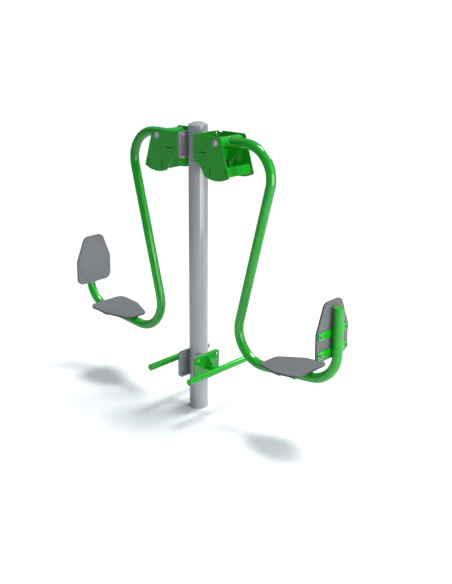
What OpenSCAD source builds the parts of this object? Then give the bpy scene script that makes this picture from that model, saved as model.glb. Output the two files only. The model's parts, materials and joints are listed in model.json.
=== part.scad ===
// Outdoor double leg press: two swinging seats hung from one post, each with a foot bar to push against.
// Millimetres, +Z up. The origin is the centre of the post's foot on the ground.
// Everything is drawn for the right-hand unit, which reaches along +X, and mirrored for the left-hand one.

/* [Post] */
// Outside diameter of the post
post_d = 127; // [114:1:140]
// Wall of the post tube
post_wall = 4; // [3:0.5:8]
// Height of the post's rim above the ground
post_h = 1957; // [1930:1:2200]
// Rise of the domed cap above the rim
cap_rise = 20; // [12:1:40]
// Thickness of the pressed cap
cap_t = 3; // [2:0.5:4]
// Depth of the cap's plug inside the post
cap_plug = 15; // [8:1:40]
// Depth of the socket that slides over a ground spigot
socket_h = 190; // [120:5:200]
// Bore of the socket
socket_d = 110; // [100:0.5:112]
// Thickness of the stop at the top of the socket
socket_stop_t = 8; // [5:1:12]
// Drain hole in the stop
drain_d = 60; // [20:1:90]

/* [Flange joints] */
// Thickness of the grey flanges welded to the post
flange_t = 10; // [8:1:14]
// Depth that a flange is let into the side of the post
flange_seat = 2; // [1:0.5:3]
// Thickness of the green back plates and foot plates
plate_t = 8; // [6:1:12]
// Corner radius of the flanges
flange_corner_r = 25; // [10:1:30]
// Width of the upper flanges
upper_flange_w = 224; // [210:1:226]
// Distance of the upper bolt holes from the flange's top and bottom edges
upper_bolt_inset = 18.5; // [16:0.5:30]
// Width of the lower flanges
lower_flange_w = 240; // [200:1:260]
// Height of the lower flanges
lower_flange_h = 184; // [160:1:220]
// Distance of the lower flanges' bottom edge below the foot bar's axis
lower_flange_drop = 91; // [60:1:110]
// Top row of bolts in the lower flanges, from the top edge
lower_bolt_top_inset = 29; // [20:1:45]
// Bottom row of bolts in the lower flanges, from the bottom edge
lower_bolt_bottom_inset = 18.5; // [16:0.5:40]
// Distance of the upper bolts from the flange's side edges
upper_bolt_side_inset = 26; // [22:1:32]
// Distance of the lower bolts from the flange's side edges
lower_bolt_side_inset = 30; // [18:1:36]

/* [Bolts] */
// Diameter of the flange bolts and axle bolts
bolt_d = 12; // [10:1:16]
// Radial clearance of a bolt in its hole
bolt_gap = 0.5; // [0.3:0.1:1]
// Head diameter of the flange bolts
bolt_head_d = 21; // [20:0.5:26]
// Head height of the flange bolts
bolt_head_h = 6.6; // [5:0.2:9]
// Width of the hexagon socket in a bolt head, across its corners
bolt_socket_d = 9; // [6:0.5:11]
// Depth of the hexagon socket
bolt_socket_h = 3.6; // [2:0.2:4.5]
// Diameter of the flange washers
washer_d = 24; // [22:1:30]
// Thickness of the flange washers
washer_t = 2.5; // [1.5:0.5:4]
// Width of the cap nuts across their corners
nut_d = 21; // [19:0.5:26]
// Height of the hexagon part of a cap nut
nut_hex_h = 10; // [8:0.5:14]
// Diameter of the dome on a cap nut
nut_dome_d = 17; // [15:0.5:18]
// Overall height of a cap nut
nut_h = 22; // [20:0.5:28]
// Length of thread inside a cap nut
nut_thread = 15; // [12:0.5:16]

/* [Housing] */
// Clear width between the side plates
house_w = 228; // [228:1:260]
// Thickness of the side plates and of the folded stop bracket
side_t = 6; // [5:0.5:8]
// Gap between the side plates' inner edge and the grey flange
side_gap = 0.5; // [0.3:0.1:3]
// Height of the side plates' top edge above the pivot
side_rise = 40; // [38:1:60]
// Width of the lowered step at the post end of the top edge
step_w = 35; // [20:1:60]
// Depth of the lowered step
step_h = 10; // [4:1:14]
// How far the top edge runs past the pivot
side_nose = 41.5; // [36:0.5:60]
// Lean of the outer edge
side_lean = 16.4; // [12:0.2:20]
// Radius of the bottom edge about the pivot
sweep_r = 240; // [236:1:250]
// Angle of the bottom arc on the post's side of the pivot
sweep_in = 14.7; // [12:0.1:17]
// Angle of the bottom arc on the outer side of the pivot
sweep_out = 26.5; // [24:0.5:27]
// Depth of the waist below the pivot
waist_drop = 134; // [128:1:140]
// Reach of the waist from the post end
waist_w = 50; // [42:1:56]
// Steepness of the edge that falls from the waist to the lobe
waist_fall = 62; // [56:0.5:66]
// Radius of the waist
waist_r = 75; // [40:1:80]
// Radius of the lobe
lobe_r = 27; // [15:1:40]
// Radius of the top outer corner
nose_r = 20; // [5:1:25]
// Radius of the bottom outer corner
toe_r = 8; // [2:1:8]
// Distance of the back plate's bottom edge below the pivot
back_drop = 139; // [134:1:142]
// Distance of the back plate's top edge above the pivot
back_rise = 39; // [30:1:39]
// Recess of the end wall behind the side plates' outer edge
wall_recess = 16; // [13:0.5:18]
// Thickness of the end wall
wall_t = 6; // [5:0.5:6]
// Depth of the end wall's top edge below the pivot
wall_top_drop = 148; // [146:1:150]
// Height of the end wall along its slope
wall_h = 62; // [50:1:64]
// Length of each tab on the end wall
wall_tab_l = 46; // [30:1:48]

/* [Stops] */
// Distance from the pivot back to the stop bracket's outer face
stop_back = 44.5; // [42:0.5:50]
// Depth of the bracket's level leg below the pivot
stop_drop = 68; // [60:1:72]
// Height of the bracket's upright leg
stop_h = 156; // [150:1:160]
// Outer radius of the bracket's fold
fold_r = 9; // [7:0.5:14]
// Length of each tab on the bracket
tab_l = 58; // [40:1:60]
// How far a tab reaches into its slot
tab_reach = 3; // [2:0.5:5.5]
// Clearance between a tab and its slot
slot_gap = 0.5; // [0.3:0.1:1]
// Height of the upright leg's tab above the leg's foot
tab_foot = 6; // [4:1:12]
// Width of each tool window in the upright leg
window_w = 49; // [30:1:52]
// Height of each tool window
window_h = 69; // [40:1:72]
// Distance of the tool windows from the middle of the bracket
window_offset = 68.5; // [62:0.5:72]
// Height of the windows' lower edge above the leg's foot
window_foot = 69; // [66:1:72]
// Corner radius of the tool windows
window_r = 8; // [3:1:12]
// Diameter of the rest buffer
buffer_d = 40; // [30:1:46]
// Depth of the buffer's axis below the pivot
buffer_drop = 139; // [136:1:141]
// Diameter of the buffer's stud
stud_d = 10; // [8:1:12]
// Depth of the stud inside the buffer
stud_in = 10; // [6:1:14]
// Thickness of the travel pad on the end wall
pad_t = 8; // [6:0.5:9]
// Width of the travel pad
pad_w = 60; // [30:1:90]
// Height of the travel pad
pad_h = 44; // [30:1:50]
// Gap that keeps the arm's fin just off the buffer at rest
rest_gap = 0.3; // [0.2:0.1:0.6]

/* [Pivot] */
// Distance of the pivot from the post's axis
pivot_reach = 262.3; // [258:0.1:270]
// Height of the pivot above the ground
pivot_h = 1876; // [1860:1:1890]
// Outside diameter of the pivot tube
pivot_d = 68; // [66:0.5:72]
// Running gap between the pivot tube's ends and the side plates
pivot_end_gap = 6; // [5:0.5:12]
// Outside diameter of the bearings
bearing_d = 52; // [50:0.5:54]
// Bore of the bearings, which is also the axle's diameter
bearing_bore = 25; // [24:0.5:26]
// Width of the bearings
bearing_w = 15; // [14:0.5:18]
// Radial thickness of each bearing ring
ring_t = 4.4; // [4:0.1:4.8]
// Diameter of the bearing balls
ball_d = 7.9; // [7.4:0.1:8]
// Number of balls in a bearing
ball_n = 9; // [7:1:10]
// Running clearance of the balls in their tracks
ball_gap = 0.04; // [0.02:0.01:0.1]
// Clearance of the rings on the axle and in the pivot tube
ring_gap = 0.02; // [0.01:0.01:0.05]
// Step that the outer rings sit against inside the pivot tube
shoulder = 2; // [1:0.5:3]
// Thickness of the circlips
circlip_t = 2; // [1.5:0.5:3]
// Depth of the circlip groove
circlip_groove = 1.5; // [1:0.5:2.5]
// Radial width of the circlips
circlip_w = 4.5; // [3:0.5:5]
// Clearance of a circlip in its groove
circlip_gap = 0.1; // [0.05:0.05:0.2]
// Length of the pivot tube beyond the circlip
circlip_lip = 3; // [2:0.5:6]
// Wall of the spacers and sleeves on the axle
spacer_wall = 3.5; // [2.5:0.5:4]
// Diameter of the large washers on the pivot
axle_washer_d = 44; // [36:1:46]
// Thickness of the large washers
axle_washer_t = 3; // [2:0.5:4]
// Depth of the tapped holes in the axle
axle_tap = 32; // [24:1:45]
// Depth of thread that an axle bolt uses
axle_thread = 24; // [16:1:24]

/* [Arms] */
// Outside diameter of the arm tube
arm_d = 63.5; // [60:0.5:64]
// Wall of the arm tube
arm_wall = 3.2; // [2.5:0.1:5]
// Radius of every bend, at the tube's axis
bend_r = 205; // [180:1:210]
// Reach of the top corner of the arm's path
top_reach = 675; // [660:1:690]
// Lean of the long stretch, whose foot comes in towards the post
arm_lean = 14.6; // [14:0.1:15]
// Height of the knee corner
knee_h = 427; // [420:1:440]
// Slope of the seat stretch, rising away from the post
seat_slope = 5.5; // [4:0.1:7]
// Reach of the upright behind the backrest
back_reach = 1142.2; // [1135:0.1:1160]
// Height of the arm's open end
arm_end_h = 980; // [970:1:1050]
// Diameter of the end cap
end_cap_d = 66; // [65:0.5:70]
// Thickness of the end cap
end_cap_t = 5; // [3:0.5:8]
// Radius of the root welds inside the arm, where its bent lengths meet
root_weld_r = 1.5; // [1:0.1:2]
// Root gap left between two bent lengths
root_gap = 0.05; // [0.03:0.01:0.1]
// Thickness of the stop fin
fin_t = 8; // [6:1:12]
// Offset of the fin's inner edge beyond the pivot
fin_offset = 1.7; // [0:0.1:4]
// Width of the fin's nose
nose_w = 13; // [10:0.5:16]
// Depth of the fin's nose below the pivot
nose_drop = 180; // [176:0.5:186]
// Height of the fin's upright nose
nose_h = 39; // [34:1:44]
// Slope of the fin's outer edge
fin_slope = 45; // [42:0.5:48]
// Angle by which each end of the fin's hollow outer edge turns from its slope
fin_hollow = 8; // [4:1:20]

/* [Seat and backrest] */
// Width of the boards
board_w = 314; // [304:1:330]
// Length of the boards
board_l = 360; // [340:1:370]
// Length of the boards' straight sides, from the wide end
board_side = 181; // [178:1:200]
// Width of the boards' narrow end
board_tip_w = 166; // [150:1:200]
// Thickness of the boards
board_t = 12; // [8:1:18]
// Corner radius at the wide end
board_wide_r = 50; // [20:1:60]
// Corner radius at the narrow end
board_tip_r = 50; // [20:1:55]
// Corner radius where the sides turn in
board_mid_r = 20; // [5:1:40]
// Width of the bars that carry a board
bar_w = 50; // [40:1:56]
// Length of the bars
bar_l = 298; // [284:1:302]
// Corner radius at the bars' ends
bar_end_r = 8; // [3:1:20]
// Thickness of the bars
bar_t = 8; // [6:1:10]
// Distance of the first bar from the board's wide end
bar_first = 46; // [40:1:60]
// Distance between the two bars of a board
bar_pitch = 116; // [90:1:125]
// Distance of the board screws from the middle
screw_offset = 130; // [120:1:132]
// Diameter of the small holes in the bars
spare_hole_d = 9; // [6:0.5:12]
// Distance of the small holes from the middle
spare_hole_offset = 92; // [60:1:100]
// Distance along the seat stretch from its rear corner to the seat's rear edge
seat_set = 168.6; // [160:0.1:175]
// Height of the backrest's bottom edge
back_h = 663; // [650:1:700]
// Diameter of the board screws
screw_d = 8; // [6:1:10]
// Head diameter of the board screws
screw_head_d = 16; // [15:0.5:22]
// Head height of the board screws
screw_head_h = 3; // [2:0.5:5]
// Width of the screws' hexagon nuts across their corners
screw_nut_d = 15; // [14:0.5:20]
// Height of the screws' nuts
screw_nut_h = 6.5; // [5:0.5:9]
// Free end of a screw beyond its nut
screw_tip = 3; // [1:0.5:5]

/* [Foot bars] */
// Outside diameter of the foot bars
foot_bar_d = 44.5; // [43:0.5:50]
// Length of the foot bars
foot_bar_l = 567; // [500:1:620]
// Wall of the foot bars and their stubs
foot_wall = 3; // [2:0.5:5]
// Thickness of the foot bars' end discs
foot_cap_t = 3; // [2:0.5:6]
// Distance of a foot bar from the post's axis
foot_reach = 183.5; // [170:0.5:210]
// Height of the foot bars above the ground
foot_h = 312; // [300:1:340]
// Outside diameter of the stub that carries a foot bar
stub_d = 42; // [36:0.5:42]
// Thickness of the gusset on the stub
gusset_t = 6; // [5:1:12]
// Length of the gusset along the stub
gusset_l = 57; // [40:1:60]
// Height of the gusset above the foot bar's axis
gusset_h = 84; // [60:1:90]

/* [Hidden] */
$fn = 96;
arc_step = 5;
overrun = 5;
socket_share = 0.6;
nut_dome_share = 0.25;
post_r = post_d / 2;
post_bore_r = post_r - post_wall;
flange_face = post_r - flange_seat;
joint_face = flange_face + flange_t;
plate_face = joint_face + plate_t;
side_face = house_w / 2;
side_inner = joint_face + side_gap;
upper_bottom = pivot_h - back_drop;
upper_top = pivot_h + back_rise;
lower_bottom = foot_h - lower_flange_drop;
lower_top = lower_bottom + lower_flange_h;
bolt_hole_d = bolt_d + 2 * bolt_gap;
upper_bolt_y = upper_flange_w / 2 - upper_bolt_side_inset;
lower_bolt_y = lower_flange_w / 2 - lower_bolt_side_inset;
upper_bolt_rows = [upper_bottom + upper_bolt_inset, upper_top - upper_bolt_inset];
lower_bolt_rows = [lower_bottom + lower_bolt_bottom_inset, lower_top - lower_bolt_top_inset];
thread_gap = 0.05;

// Outline of a side plate, as corners [x, z, radius] in the plane of the plate
pivot = [pivot_reach, pivot_h];
lean_dir = [sin(side_lean), -cos(side_lean)];
nose_corner = [pivot_reach + side_nose, pivot_h + side_rise];
sweep_mid = (sweep_out - sweep_in) / 2;
sweep_half = (sweep_out + sweep_in) / 2;
sweep_corner = pivot + sweep_r / cos(sweep_half) * [sin(sweep_mid), -cos(sweep_mid)];
sweep_out_dir = [cos(sweep_out), sin(sweep_out)];
sweep_in_dir = [-cos(sweep_in), sin(sweep_in)];
toe_corner = meet(nose_corner, lean_dir, sweep_corner, sweep_out_dir);
waist_corner = [side_inner + waist_w, pivot_h - waist_drop];
fall_dir = [cos(waist_fall), -sin(waist_fall)];
lobe_corner = meet(waist_corner, fall_dir, sweep_corner, sweep_in_dir);
step_x = side_inner + step_w;
step_z = pivot_h + side_rise - step_h;

// End wall and stops
wall_out = [cos(side_lean), sin(side_lean)];
wall_face = nose_corner - wall_recess * wall_out;
wall_top = meet(wall_face, lean_dir, [0, pivot_h - wall_top_drop], [1, 0]);
stop_face = pivot_reach - stop_back;
stop_top = pivot_h - stop_drop;
stop_foot = stop_top - stop_h;
buffer_h = pivot_h - buffer_drop;
fin_face = pivot_reach + fin_offset;
level_tab_x = (plate_face + stop_face) / 2;
upright_tab_z = stop_foot + tab_foot + tab_l / 2;

// Stack of pieces on the axle, measured from the middle
tube_end = side_face - pivot_end_gap;
circlip_out = tube_end - circlip_lip;
bearing_out = circlip_out - circlip_t;
bearing_in = bearing_out - bearing_w;
track_r = (bearing_bore + bearing_d) / 4;
track_y = bearing_out - bearing_w / 2;
groove_r = ball_d / 2 + ball_gap;

// Path of the arm, as corners [x, z]
seat_dir = [cos(seat_slope), sin(seat_slope)];
seat_up = [-sin(seat_slope), cos(seat_slope)];
knee = [top_reach - (pivot_h - knee_h) * tan(arm_lean), knee_h];
heel = meet(knee, seat_dir, [back_reach, 0], [0, 1]);
arm_path = [pivot, [top_reach, pivot_h], knee, heel, [back_reach, arm_end_h]];
arm_turns = [90 + arm_lean, -90 - arm_lean - seat_slope, seat_slope - 90];

// Boards: face of a board above the arm's axis, and its screws
board_stack = arm_d / 2 + bar_t + board_t;
seat_edge = heel - seat_set * seat_dir + board_stack * seat_up;
back_edge = [back_reach - board_stack, back_h];
bar_places = [bar_first, bar_first + bar_pitch];
screw_hole_d = screw_d + 2 * bolt_gap;

green = [0.12, 0.62, 0.16];
post_grey = [0.66, 0.66, 0.68];
flange_grey = [0.45, 0.45, 0.48];
board_grey = [0.50, 0.50, 0.52];
steel = [0.75, 0.75, 0.77];
rubber = [0.08, 0.08, 0.08];

// Point where the line through p along d meets the line through q along e
function meet(p, d, q, e) = p + d * cross(q - p, e) / cross(d, e);
function unit(v) = v / norm(v);
// Points of the arc that rounds corner p, between its neighbours a and b, to radius r
function rounded(a, p, b, r) =
    let (u = unit(a - p), v = unit(b - p), half = acos(u * v) / 2)
    let (c = p + unit(u + v) * r / sin(half))
    let (start = p + u * r / tan(half) - c, end = p + v * r / tan(half) - c)
    let (turn = asin(cross(start, end) / (r * r)), steps = max(2, ceil(abs(turn) / arc_step)))
    r == 0 ? [p] : [for (i = [0 : steps]) c + spin(start, turn * i / steps)];
function spin(v, a) = [v.x * cos(a) - v.y * sin(a), v.x * sin(a) + v.y * cos(a)];
// Outline through corners [x, y, radius]
function outline(corners) = [
    for (i = [0 : len(corners) - 1])
    let (a = corners[(i + len(corners) - 1) % len(corners)], b = corners[(i + 1) % len(corners)])
    each rounded([a.x, a.y], [corners[i].x, corners[i].y], [b.x, b.y], corners[i].z)
];
function corner(p, r) = [p.x, p.y, r];

// Placement helpers
module on_left() { mirror([1, 0, 0]) children(); }
module on_both() {
    children();
    on_left() children();
}
module at_both_ends() {
    children();
    mirror([0, 1, 0]) children();
}
module at_pivot() { translate([pivot_reach, 0, pivot_h]) rotate([-90, 0, 0]) children(); }
module along_x() { rotate([0, 90, 0]) children(); }
// Turns a profile drawn as [x, z] upright and gives it a thickness from y0 to y1
module upright_profile(y0, y1) {
    translate([0, y1, 0]) rotate([90, 0, 0]) linear_extrude(y1 - y0) children();
}
module plain_ring(outer_d, inner_d, length) {
    difference() {
        cylinder(d = outer_d, h = length);
        translate([0, 0, -overrun]) cylinder(d = inner_d, h = length + 2 * overrun);
    }
}
module dome(d, rise) {
    ball_r = (d * d / 4 + rise * rise) / (2 * rise);
    intersection() {
        translate([0, 0, rise - ball_r]) sphere(ball_r);
        cylinder(d = d, h = rise);
    }
}
// Button-head bolt: its head stands on z = 0 and its shank runs down
module button_bolt(shank_d, head_d, head_h, socket_d, socket_h, length) {
    difference() {
        union() {
            dome(head_d, head_h);
            translate([0, 0, -length]) cylinder(d = shank_d, h = length);
        }
        translate([0, 0, head_h - socket_h]) cylinder(d = socket_d, h = socket_h + overrun, $fn = 6);
    }
}
module flat_plate(w, bottom, top, r, x0, t) {
    points = outline([[-w / 2, bottom, r], [w / 2, bottom, r], [w / 2, top, r], [-w / 2, top, r]]);
    translate([x0, 0, 0]) rotate([90, 0, 90]) linear_extrude(t) polygon(points);
}
module hole_rows(y, rows, x0, x1, d) {
    for (side = [-1, 1], z = rows) {
        translate([x0 - overrun, side * y, z]) along_x() cylinder(d = d, h = x1 - x0 + 2 * overrun);
    }
}
module post_solid(length) { cylinder(d = post_d, h = length); }

// Post
module post_tube() {
    color(post_grey) plain_ring(post_d, 2 * post_bore_r, post_h);
}
module post_cap() {
    ball_r = (post_r * post_r + cap_rise * cap_rise) / (2 * cap_rise);
    plug_r = post_bore_r - ring_gap;
    color(post_grey) translate([0, 0, post_h]) {
        difference() {
            dome(post_d, cap_rise);
            translate([0, 0, cap_rise - ball_r]) sphere(ball_r - cap_t);
        }
        translate([0, 0, -cap_plug]) plain_ring(2 * plug_r, 2 * (plug_r - cap_t), cap_plug);
    }
}
module ground_socket() {
    color(post_grey) difference() {
        cylinder(r = post_bore_r, h = socket_h + socket_stop_t);
        translate([0, 0, -overrun]) cylinder(d = socket_d, h = socket_h + overrun);
        cylinder(d = drain_d, h = socket_h + socket_stop_t + overrun);
    }
}

// Flange joints
module upper_flange() {
    color(flange_grey) difference() {
        flat_plate(upper_flange_w, upper_bottom, upper_top, flange_corner_r, flange_face, flange_t);
        post_solid(post_h);
        hole_rows(upper_bolt_y, upper_bolt_rows, flange_face, joint_face, bolt_hole_d);
    }
}
module lower_flange() {
    color(flange_grey) difference() {
        flat_plate(lower_flange_w, lower_bottom, lower_top, flange_corner_r, flange_face, flange_t);
        post_solid(post_h);
        hole_rows(lower_bolt_y, lower_bolt_rows, flange_face, joint_face, bolt_hole_d);
    }
}
module foot_plate() {
    color(green) difference() {
        flat_plate(lower_flange_w, lower_bottom, lower_top, flange_corner_r, joint_face, plate_t);
        hole_rows(lower_bolt_y, lower_bolt_rows, joint_face, plate_face, bolt_hole_d);
    }
}
// Every place of a flange bolt, with +Z running out along the bolt from the green plate's face
module at_flange_bolts(x) {
    on_both() {
        for (side = [-1, 1]) {
            for (z = upper_bolt_rows) translate([x, side * upper_bolt_y, z]) along_x() children();
            for (z = lower_bolt_rows) translate([x, side * lower_bolt_y, z]) along_x() children();
        }
    }
}
module flange_bolts() {
    grip = washer_t + plate_t + flange_t + washer_t + nut_thread;
    color(steel) at_flange_bolts(plate_face + washer_t)
        button_bolt(bolt_d, bolt_head_d, bolt_head_h, bolt_socket_d, bolt_socket_h, grip);
}
module flange_washers() {
    color(steel) {
        at_flange_bolts(plate_face) plain_ring(washer_d, bolt_hole_d, washer_t);
        at_flange_bolts(flange_face - washer_t) plain_ring(washer_d, bolt_hole_d, washer_t);
    }
}
module flange_nuts() {
    dome_rise = nut_dome_share * nut_dome_d;
    color(steel) at_flange_bolts(flange_face - washer_t) mirror([0, 0, 1]) difference() {
        union() {
            cylinder(d = nut_d, h = nut_hex_h, $fn = 6);
            cylinder(d = nut_dome_d, h = nut_h - dome_rise);
            translate([0, 0, nut_h - dome_rise]) dome(nut_dome_d, dome_rise);
        }
        translate([0, 0, -overrun])
            cylinder(d = bolt_d + 2 * thread_gap, h = nut_thread + thread_gap + overrun);
    }
}

// Housing
module housing_back_plate() {
    color(green) difference() {
        translate([joint_face, -side_face, upper_bottom])
            cube([plate_t, house_w, upper_top - upper_bottom]);
        hole_rows(upper_bolt_y, upper_bolt_rows, joint_face, plate_face, bolt_hole_d);
    }
}
module tab_slot(length, thickness) {
    square([length + 2 * slot_gap, thickness + 2 * slot_gap], center = true);
}
module at_wall_middle() {
    translate(wall_top + wall_h / 2 * lean_dir - wall_t / 2 * wall_out) rotate(side_lean + 90) children();
}
module housing_side_plate() {
    points = outline([
        corner(waist_corner, waist_r), corner(lobe_corner, lobe_r), corner(sweep_corner, sweep_r),
        corner(toe_corner, toe_r), corner(nose_corner, nose_r), [step_x, nose_corner.y, 0],
        [step_x, step_z, 0], [side_inner, step_z, 0], [side_inner, waist_corner.y, 0]
    ]);
    color(green) upright_profile(-side_face - side_t, -side_face) difference() {
        polygon(points);
        translate(pivot) circle(d = bolt_hole_d);
        translate([level_tab_x, stop_top - side_t / 2]) tab_slot(tab_l, side_t);
        translate([stop_face - side_t / 2, upright_tab_z]) rotate(90) tab_slot(tab_l, side_t);
        at_wall_middle() tab_slot(wall_tab_l, wall_t);
    }
}
module housing_end_wall() {
    color(green) {
        upright_profile(-side_face, side_face) at_wall_middle() square([wall_h, wall_t], center = true);
        upright_profile(-side_face - tab_reach, side_face + tab_reach)
            at_wall_middle() square([wall_tab_l, wall_t], center = true);
    }
}
module stop_bracket() {
    color(green) difference() {
        union() {
            upright_profile(-side_face, side_face)
                polygon(concat(
                    [[plate_face, stop_top], [plate_face, stop_top - side_t]],
                    rounded([plate_face, stop_top - side_t], [stop_face - side_t, stop_top - side_t],
                        [stop_face - side_t, stop_foot], fold_r - side_t),
                    [[stop_face - side_t, stop_foot], [stop_face, stop_foot]],
                    rounded([stop_face, stop_foot], [stop_face, stop_top], [plate_face, stop_top], fold_r)
                ));
            upright_profile(-side_face - tab_reach, side_face + tab_reach) {
                translate([level_tab_x, stop_top - side_t / 2]) square([tab_l, side_t], center = true);
                translate([stop_face - side_t / 2, upright_tab_z]) square([side_t, tab_l], center = true);
            }
        }
        for (side = [-1, 1]) translate([stop_face - side_t - overrun, side * window_offset, 0])
            rotate([90, 0, 90]) linear_extrude(side_t + 2 * overrun)
                polygon(outline([
                    [-window_w / 2, stop_foot + window_foot, window_r],
                    [window_w / 2, stop_foot + window_foot, window_r],
                    [window_w / 2, stop_foot + window_foot + window_h, window_r],
                    [-window_w / 2, stop_foot + window_foot + window_h, window_r]
                ]));
        translate([stop_face - side_t - overrun, 0, buffer_h]) along_x()
            cylinder(d = stud_d + 2 * bolt_gap, h = side_t + 2 * overrun);
    }
}
module rest_buffers() {
    length = fin_face - rest_gap - stop_face;
    color(rubber) on_both() translate([stop_face, 0, buffer_h]) along_x() difference() {
        cylinder(d = buffer_d, h = length);
        translate([0, 0, -overrun])
            cylinder(d = stud_d + 2 * thread_gap, h = stud_in + thread_gap + overrun);
    }
}
module buffer_studs() {
    nut_face = stop_face - side_t - washer_t;
    color(steel) on_both() translate([0, 0, buffer_h]) along_x() {
        translate([0, 0, nut_face - screw_nut_h - screw_tip])
            cylinder(d = stud_d, h = stop_face + stud_in - nut_face + screw_nut_h + screw_tip);
        translate([0, 0, nut_face - screw_nut_h]) cylinder(d = nut_d, h = screw_nut_h, $fn = 6);
        translate([0, 0, nut_face]) cylinder(d = washer_d, h = washer_t);
    }
}
module travel_pads() {
    inner = wall_top - wall_t * wall_out;
    foot = inner + pad_h * lean_dir;
    color(rubber) on_both() upright_profile(-pad_w / 2, pad_w / 2)
        polygon([inner, inner - pad_t * wall_out, foot - pad_t * wall_out, foot]);
}

// Pivot
module axle() {
    color(steel) at_pivot() difference() {
        translate([0, 0, -side_face]) cylinder(d = bearing_bore, h = house_w);
        for (side = [-1, 1]) scale([1, 1, side]) translate([0, 0, side_face - axle_tap])
            cylinder(d = bolt_d + 2 * thread_gap, h = axle_tap + overrun);
    }
}
module axle_bolts() {
    head_seat = side_face + side_t + axle_washer_t;
    color(steel) on_both() at_both_ends() at_pivot() translate([0, 0, head_seat])
        button_bolt(bolt_d, bolt_head_d, bolt_head_h, bolt_socket_d, bolt_socket_h,
            axle_washer_t + side_t + axle_thread);
}
module axle_washers() {
    color(steel) on_both() at_both_ends() at_pivot() translate([0, 0, side_face + side_t])
        plain_ring(axle_washer_d, bolt_hole_d, axle_washer_t);
}
module spacer_ring(length) {
    plain_ring(bearing_bore + 2 * spacer_wall, bearing_bore + 2 * ring_gap, length);
}
module axle_spacers() {
    color(steel) on_both() at_both_ends() at_pivot() translate([0, 0, bearing_out])
        spacer_ring(side_face - bearing_out);
}
module centre_sleeves() {
    color(steel) on_both() at_pivot() translate([0, 0, -bearing_in]) spacer_ring(2 * bearing_in);
}
module ball_track() { rotate_extrude() translate([track_r, 0]) circle(groove_r); }
module bearing_inner_rings() {
    color(steel) on_both() at_both_ends() at_pivot() difference() {
        translate([0, 0, bearing_in])
            plain_ring(bearing_bore + 2 * ring_t, bearing_bore + 2 * ring_gap, bearing_w);
        translate([0, 0, track_y]) ball_track();
    }
}
module bearing_outer_rings() {
    color(steel) at_both_ends() at_pivot() difference() {
        translate([0, 0, bearing_in])
            plain_ring(bearing_d - 2 * ring_gap, bearing_d - 2 * ring_t, bearing_w);
        translate([0, 0, track_y]) ball_track();
    }
}
module bearing_balls() {
    color(steel) on_both() at_both_ends() at_pivot() for (i = [0 : ball_n - 1])
        rotate(360 * i / ball_n) translate([track_r, 0, track_y]) sphere(d = ball_d, $fn = 48);
}
module pivot_tube() {
    color(green) at_pivot() difference() {
        translate([0, 0, -tube_end]) cylinder(d = pivot_d, h = 2 * tube_end);
        translate([0, 0, -tube_end - overrun])
            cylinder(d = bearing_d - 2 * shoulder, h = 2 * (tube_end + overrun));
        for (side = [-1, 1]) scale([1, 1, side]) {
            translate([0, 0, bearing_in]) cylinder(d = bearing_d, h = tube_end - bearing_in + overrun);
            translate([0, 0, bearing_out])
                cylinder(d = bearing_d + 2 * circlip_groove, h = circlip_t + circlip_gap);
        }
    }
}
module bearing_circlips() {
    outer_d = bearing_d + 2 * (circlip_groove - circlip_gap);
    color(steel) at_both_ends() at_pivot() translate([0, 0, bearing_out])
        difference() {
            plain_ring(outer_d, outer_d - 2 * circlip_w, circlip_t);
            translate([0, -circlip_w, -overrun])
                cube([outer_d, 2 * circlip_w, circlip_t + 2 * overrun]);
        }
}

// Arms
module arm_section() {
    difference() {
        circle(d = arm_d);
        circle(d = arm_d - 2 * arm_wall);
    }
}
// Length that the bend at corner i takes off each straight beside it
function bend_room(i) = i < 0 || i == len(arm_turns) ? 0 : bend_r * tan(abs(arm_turns[i]) / 2);
function straight_l(i) = norm(arm_path[i + 1] - arm_path[i]) - bend_room(i - 1) - bend_room(i);
// Root weld inside the tube, where two bent lengths meet
module root_weld() {
    rotate_extrude() translate([arm_d / 2 - arm_wall, 0]) circle(root_weld_r);
}
// The path from straight i on: the straight, its bend, and the rest in the turned frame
module arm_from(i) {
    last = i == len(arm_turns);
    start = i == 0 ? 0 : root_gap;
    translate([0, 0, start]) linear_extrude(straight_l(i) - start) arm_section();
    if (i > 0) root_weld();
    if (!last) {
        hub = sign(arm_turns[i]) * bend_r;
        translate([hub, 0, straight_l(i)]) {
            mirror([hub > 0 ? 1 : 0, 0, 0]) rotate([90, 0, 0])
                rotate_extrude(angle = abs(arm_turns[i])) translate([bend_r, 0]) arm_section();
            rotate([0, arm_turns[i], 0]) translate([-hub, 0, 0]) arm_from(i + 1);
        }
    }
}
module pivot_solid() {
    at_pivot() translate([0, 0, -tube_end]) cylinder(d = pivot_d, h = 2 * tube_end);
}
module arm_tube() {
    color(green) difference() {
        translate([pivot_reach, 0, pivot_h]) rotate([0, 90, 0]) arm_from(0);
        pivot_solid();
    }
}
module arm_end_cap() {
    color(green) translate([back_reach, 0, arm_end_h]) cylinder(d = end_cap_d, h = end_cap_t);
}
module stop_fin() {
    nose = [fin_face, pivot_h - nose_drop];
    knuckle = nose + [nose_w, nose_h];
    rise = nose_drop - nose_h;
    top = knuckle + [rise / tan(fin_slope), rise];
    // The edge is hollow up to the height of the arm's underside
    hollow_rise = rise - arm_d / 2;
    eave = knuckle + [hollow_rise / tan(fin_slope), hollow_rise];
    half = norm(eave - knuckle) / 2;
    corner = (knuckle + eave) / 2 + half * tan(fin_hollow) * [-sin(fin_slope), cos(fin_slope)];
    hollow = rounded(knuckle, corner, eave, half / sin(fin_hollow));
    color(green) difference() {
        upright_profile(-fin_t / 2, fin_t / 2)
            polygon(concat([nose, nose + [nose_w, 0]], hollow, [top, [fin_face, pivot_h]]));
        translate([pivot_reach, 0, pivot_h]) along_x() cylinder(d = arm_d, h = top_reach - pivot_reach);
        pivot_solid();
    }
}

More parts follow.
